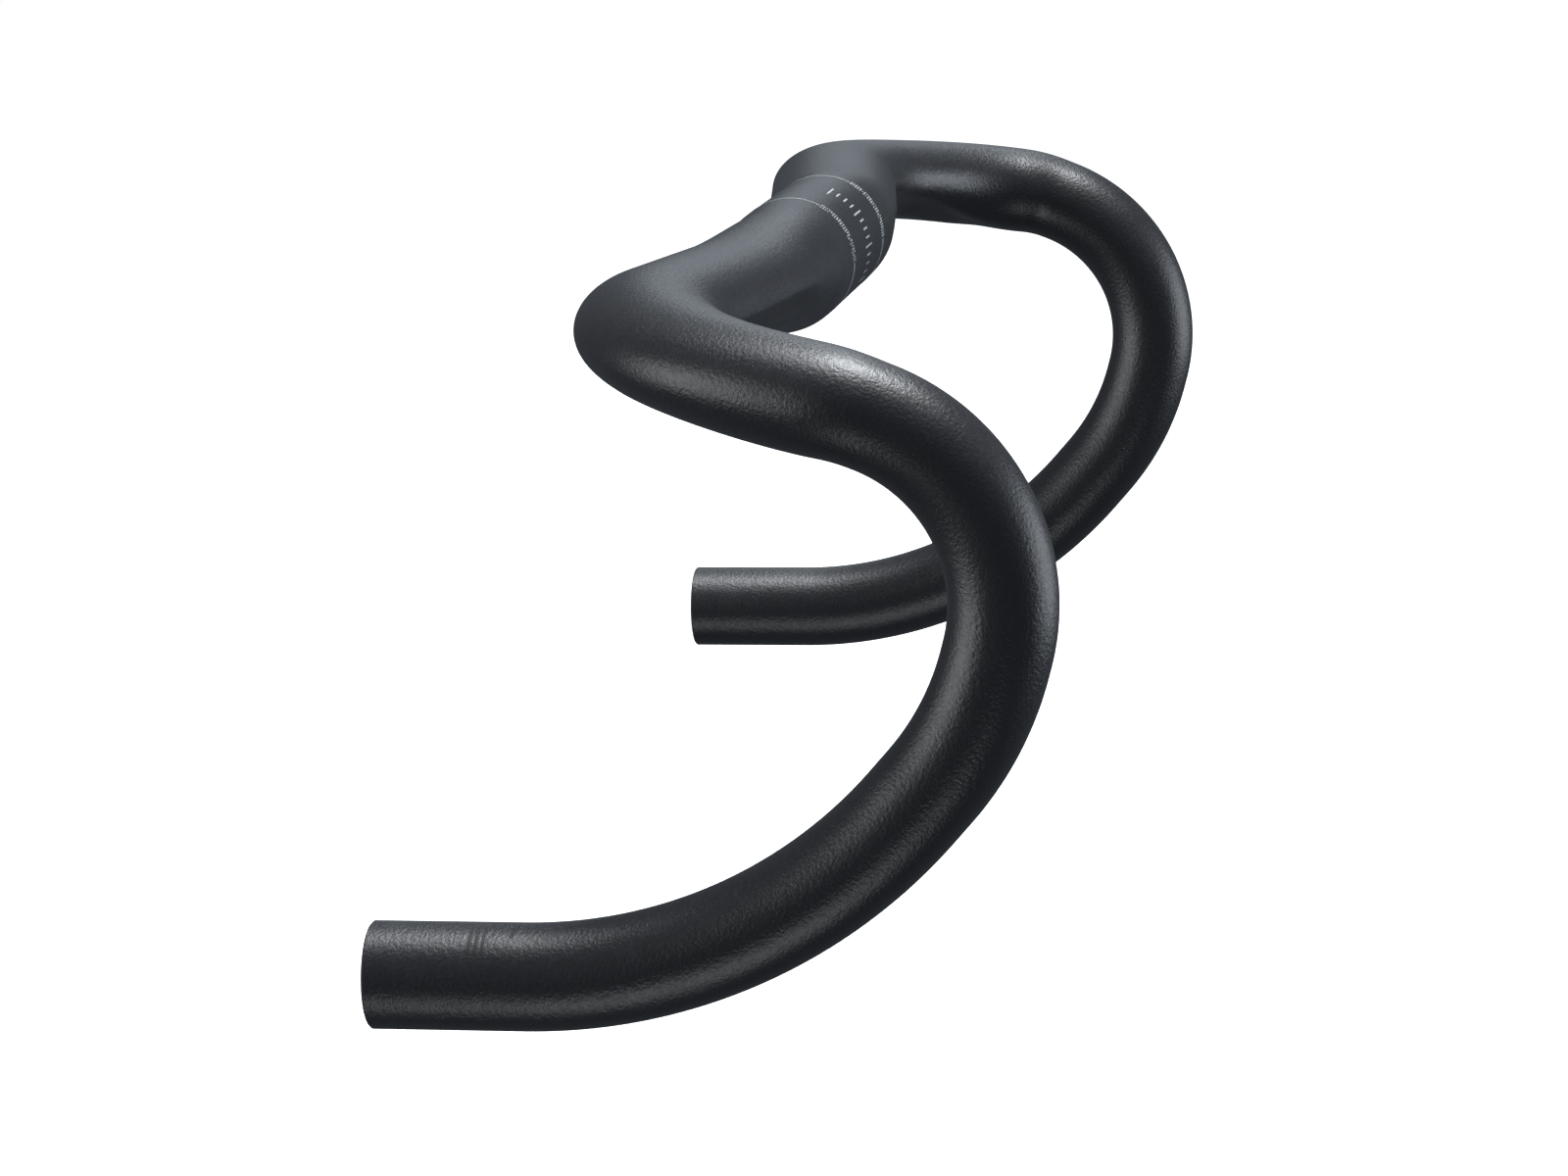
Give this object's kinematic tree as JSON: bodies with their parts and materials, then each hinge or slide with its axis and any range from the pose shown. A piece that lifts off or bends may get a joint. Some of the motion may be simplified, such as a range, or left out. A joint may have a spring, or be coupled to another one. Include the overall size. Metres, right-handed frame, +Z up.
{
  "type": "drop handlebar",
  "caption": "Bare road drop handlebar: round stem clamp zone, flattened swept-back tops with a hose groove, compact hooks and open round drops.",
  "frame": {"origin": "middle of the stem clamp zone, on its axis", "axes": "+X to the rider's right along the clamp axis, +Y forward, +Z up, with the drops level"},
  "size_m": [0.444, 0.152, 0.1618],
  "materials": {
    "bar": "bead-blasted and black anodised, matte",
    "print": "pale grey printed ink",
    "stamp": "dark stamped marks"
  },
  "bodies": {
    "root": {"clamp_section": "bar", "taper_right": "bar", "taper_left": "bar", "top_right": "bar", "top_left": "bar", "corner_right": "bar", "corner_left": "bar", "ramp_right": "bar", "ramp_left": "bar", "hook_upper_right": "bar", "hook_upper_left": "bar", "hook_middle_right": "bar", "hook_middle_left": "bar", "hook_lower_right": "bar", "hook_lower_left": "bar", "drop_right": "bar", "drop_left": "bar", "limit_ring_right": "print", "limit_ring_left": "print", "caption_right": "print", "caption_left": "print", "angle_scale": "print", "size_mark_right": "stamp", "trim_mark_right": "stamp"}
  },
  "joints": []
}
